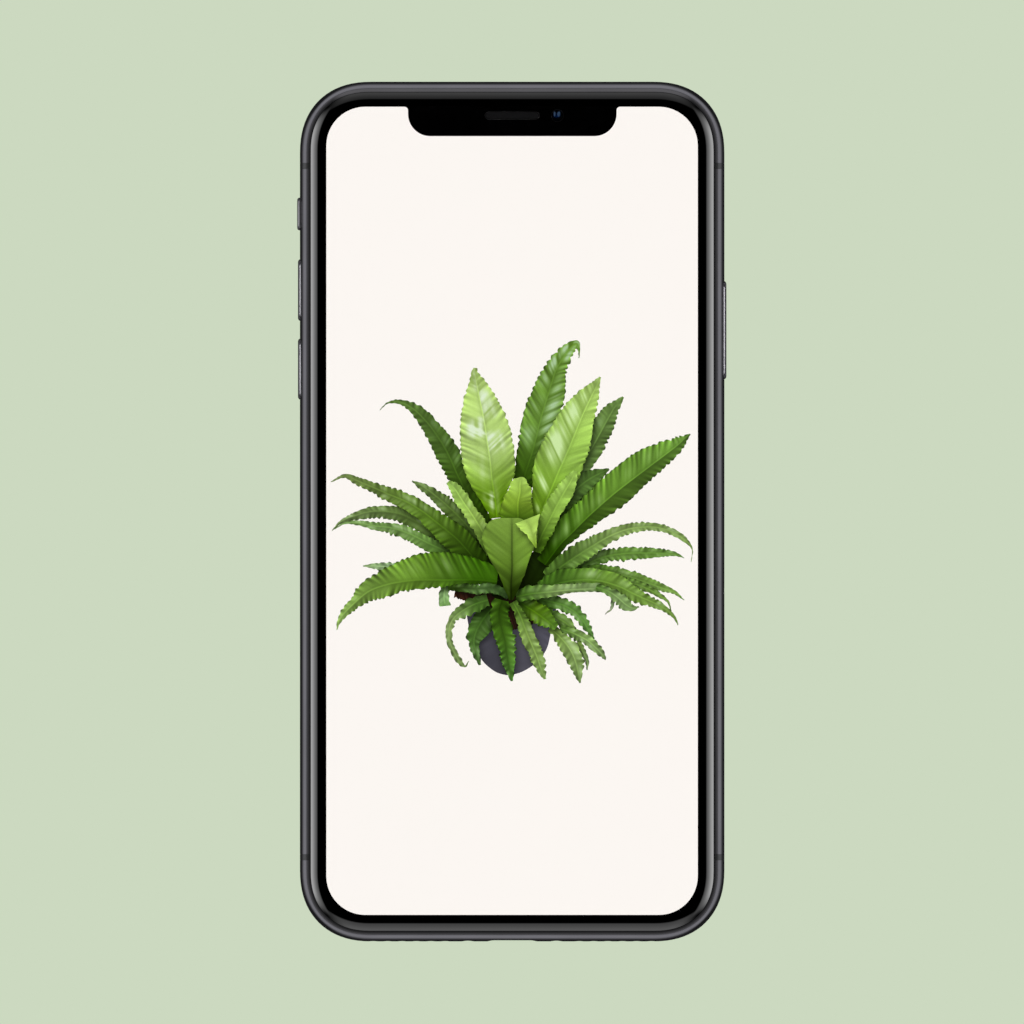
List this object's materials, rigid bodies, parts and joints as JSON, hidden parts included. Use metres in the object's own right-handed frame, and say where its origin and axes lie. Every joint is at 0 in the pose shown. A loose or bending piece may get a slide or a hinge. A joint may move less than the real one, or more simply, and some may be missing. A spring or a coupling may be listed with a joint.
{
  "type": "smartphone",
  "caption": "Slim smartphone with a notched edge-to-edge display, polished dark steel band, glass back, side keys, ring switch, card tray and charging port.",
  "frame": {"origin": "under the middle of the body in plan, at the height of the rear camera's outer face, the lowest point of the phone on its back", "axes": "+X to the side with the side key, +Y to the end with the earpiece, +Z out of the display"},
  "size_m": [0.0717, 0.1436, 0.0088],
  "materials": {
    "band_steel": "polished stainless steel with a dark grey vapour-deposited coat",
    "band_plastic": "dark grey moulded plastic",
    "front_glass": "polished clear cover glass, black print round the display",
    "back_glass": "polished glass over a dark grey print",
    "lens_glass": "polished coated lens window",
    "flash_lens": "ribbed clear flash lens",
    "display": "lit display showing a potted fern on an off-white ground",
    "plate_steel": "rolled steel plate",
    "shield_metal": "bright stamped metal",
    "contact_metal": "gilded contact metal",
    "coil_copper": "enamelled copper winding",
    "circuit_board": "circuit board with a dark solder mask",
    "flex_circuit": "brown polyimide film",
    "module_plastic": "dark moulded plastic",
    "battery_foil": "aluminium laminate pouch with a dark skin",
    "sound_mesh": "fine dark woven mesh"
  },
  "bodies": {
    "body": {"side_band": "band_steel", "antenna_line_left_upper": "band_plastic", "antenna_line_left_lower": "band_plastic", "antenna_line_right_upper": "band_plastic", "antenna_line_right_lower": "band_plastic", "front_glass": "front_glass", "back_glass": "back_glass", "display_gasket": "band_plastic", "display_panel": "display", "display_backing": "plate_steel", "mid_plate": "plate_steel", "earpiece_mesh": "sound_mesh", "camera_ring": "band_steel", "camera_plate": "back_glass", "lens_window_upper": "lens_glass", "lens_window_lower": "lens_glass", "flash_window": "flash_lens", "flash_lamp": "contact_metal", "rear_camera_upper": "module_plastic", "rear_camera_lower": "module_plastic", "front_camera": "module_plastic", "infrared_camera": "module_plastic", "dot_projector": "module_plastic", "light_sensor": "module_plastic", "earpiece_speaker": "module_plastic", "battery": "battery_foil", "main_board": "circuit_board", "front_shield": "shield_metal", "rear_shield": "shield_metal", "charging_board": "circuit_board", "microphone": "contact_metal", "charging_coil": "coil_copper", "loudspeaker": "module_plastic", "vibration_motor": "shield_metal", "port_shell": "shield_metal", "port_tongue": "module_plastic", "bottom_screw_left": "band_steel", "bottom_screw_right": "band_steel", "sound_mesh_left": "sound_mesh", "sound_mesh_right": "sound_mesh", "sim_reader": "shield_metal", "side_button_switch": "plate_steel", "volume_up_switch": "plate_steel", "volume_down_switch": "plate_steel", "ring_switch_base": "module_plastic", "display_flex": "flex_circuit", "battery_flex": "flex_circuit", "charging_flex": "flex_circuit", "left_key_flex": "flex_circuit", "right_key_flex": "flex_circuit"},
    "side_key": {"side_button": "band_steel"},
    "volume_up_key": {"volume_up_button": "band_steel"},
    "volume_down_key": {"volume_down_button": "band_steel"},
    "ring_lever": {"ring_switch": "band_steel"},
    "card_tray": {"sim_tray": "band_steel"}
  },
  "joints": [
    {"name": "side_key_press", "type": "slide", "parent": "body", "child": "side_key", "axis": [-1, 0, 0], "range_m": [0, 0.0003], "stiffness_N_per_m": 4000},
    {"name": "volume_up_press", "type": "slide", "parent": "body", "child": "volume_up_key", "axis": [1, 0, 0], "range_m": [0, 0.0003], "stiffness_N_per_m": 4000},
    {"name": "volume_down_press", "type": "slide", "parent": "body", "child": "volume_down_key", "axis": [1, 0, 0], "range_m": [0, 0.0003], "stiffness_N_per_m": 4000},
    {"name": "ring_switch_slide", "type": "slide", "parent": "body", "child": "ring_lever", "axis": [0, 0, 1], "range_m": [-0.001, 0]},
    {"name": "card_tray_slide", "type": "slide", "parent": "body", "child": "card_tray", "axis": [1, 0, 0], "range_m": [0, 0.014]}
  ]
}
